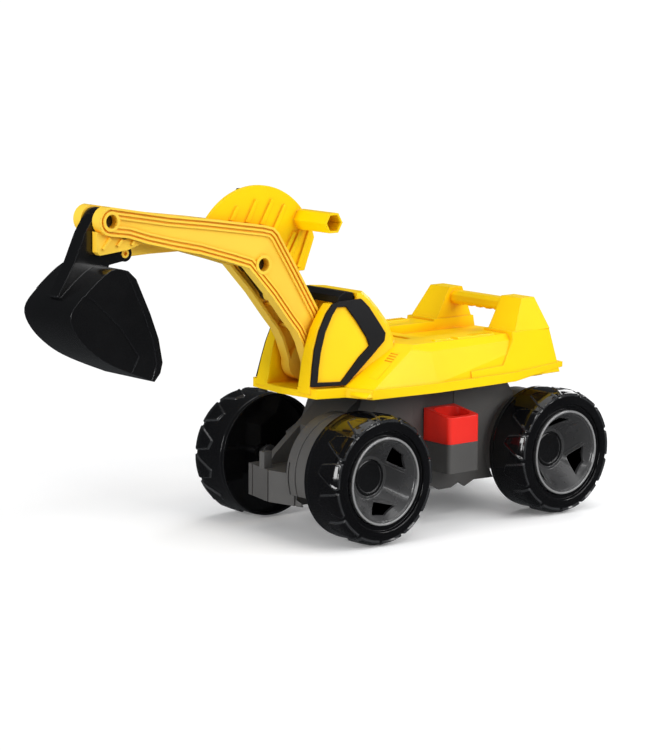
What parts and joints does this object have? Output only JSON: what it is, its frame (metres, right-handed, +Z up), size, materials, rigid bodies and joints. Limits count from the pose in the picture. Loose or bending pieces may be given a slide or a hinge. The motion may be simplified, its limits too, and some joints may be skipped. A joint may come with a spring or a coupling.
{
  "type": "ride-on toy digger",
  "caption": "Ride-on toy digger: wheeled chassis, turning body with seat deck and handle, and a two-plate boom whose bucket is worked by a hand lever.",
  "frame": {"origin": "on the ground, on the centre plane, midway between the front and rear axles", "axes": "-X points forwards to the bucket, +Z points up, +Y points to the machine's right-hand side"},
  "size_m": [0.8276, 0.299, 0.4596],
  "materials": {
    "chassis": "satin moulded plastic",
    "metal": "plain steel",
    "red": "gloss",
    "tyre": "gloss, hard blow-moulded plastic",
    "rim": "satin",
    "charcoal": "satin",
    "yellow": "gloss",
    "boom_yellow": "gloss",
    "black": "gloss"
  },
  "bodies": {
    "chassis": {"chassis_frame": "chassis", "front_axle": "metal", "rear_axle": "metal", "axle_clips": "metal", "left_storage_box": "red", "right_storage_box": "red"},
    "front_left_wheel": {"front_left_tyre": "tyre", "front_left_rim": "rim", "front_left_hub_cap": "black"},
    "front_right_wheel": {"front_right_tyre": "tyre", "front_right_rim": "rim", "front_right_hub_cap": "black"},
    "rear_left_wheel": {"rear_left_tyre": "tyre", "rear_left_rim": "rim", "rear_left_hub_cap": "black"},
    "rear_right_wheel": {"rear_right_tyre": "tyre", "rear_right_rim": "rim", "rear_right_hub_cap": "black"},
    "upper": {"turntable_plate": "charcoal", "slew_washer": "metal", "slew_bolt": "metal", "body_screws": "metal", "upper_body": "yellow", "cab_roof": "charcoal", "left_window_frame": "charcoal", "right_window_frame": "charcoal", "boom_pivot_pin": "metal", "boom_spacers": "black"},
    "boom": {"boom_left_half": "boom_yellow", "boom_right_half": "boom_yellow", "boom_screws": "metal", "finger_guard": "yellow", "tip_pin": "black", "elbow_pin": "black"},
    "lever": {"bucket_lever": "black", "link_pin": "metal"},
    "link": {"bucket_link": "boom_yellow"},
    "bucket_body": {"bucket": "black"}
  },
  "joints": [
    {"name": "front_left_spin", "type": "hinge", "parent": "chassis", "child": "front_left_wheel", "pos_m": [-0.1625, -0.117, 0.085], "axis": [0, 1, 0], "continuous": true},
    {"name": "front_right_spin", "type": "hinge", "parent": "chassis", "child": "front_right_wheel", "pos_m": [-0.1625, 0.117, 0.085], "axis": [0, 1, 0], "continuous": true},
    {"name": "rear_left_spin", "type": "hinge", "parent": "chassis", "child": "rear_left_wheel", "pos_m": [0.1625, -0.117, 0.085], "axis": [0, 1, 0], "continuous": true},
    {"name": "rear_right_spin", "type": "hinge", "parent": "chassis", "child": "rear_right_wheel", "pos_m": [0.1625, 0.117, 0.085], "axis": [0, 1, 0], "continuous": true},
    {"name": "slew", "type": "hinge", "parent": "chassis", "child": "upper", "pos_m": [0, 0, 0.188], "axis": [0, 0, 1], "continuous": true},
    {"name": "boom_lift", "type": "hinge", "parent": "upper", "child": "boom", "pos_m": [-0.168, 0, 0.222], "axis": [0, 1, 0], "range_deg": [-42, 8]},
    {"name": "lever_swing", "type": "hinge", "parent": "boom", "child": "lever", "pos_m": [-0.267, 0, 0.3596], "axis": [0, 1, 0], "range_deg": [-25, 35]},
    {"name": "link_swing", "type": "hinge", "parent": "lever", "child": "link", "pos_m": [-0.2352, 0, 0.317], "axis": [0, 1, 0], "range_deg": [-35, 25]},
    {"name": "bucket_swing", "type": "hinge", "parent": "boom", "child": "bucket_body", "pos_m": [-0.5038, 0, 0.429], "axis": [0, 1, 0], "range_deg": [-25, 35]}
  ],
  "couplings": [
    {"joint": "bucket_swing", "follows": "lever_swing", "ratio": 1},
    {"joint": "link_swing", "follows": "lever_swing", "ratio": -1}
  ]
}
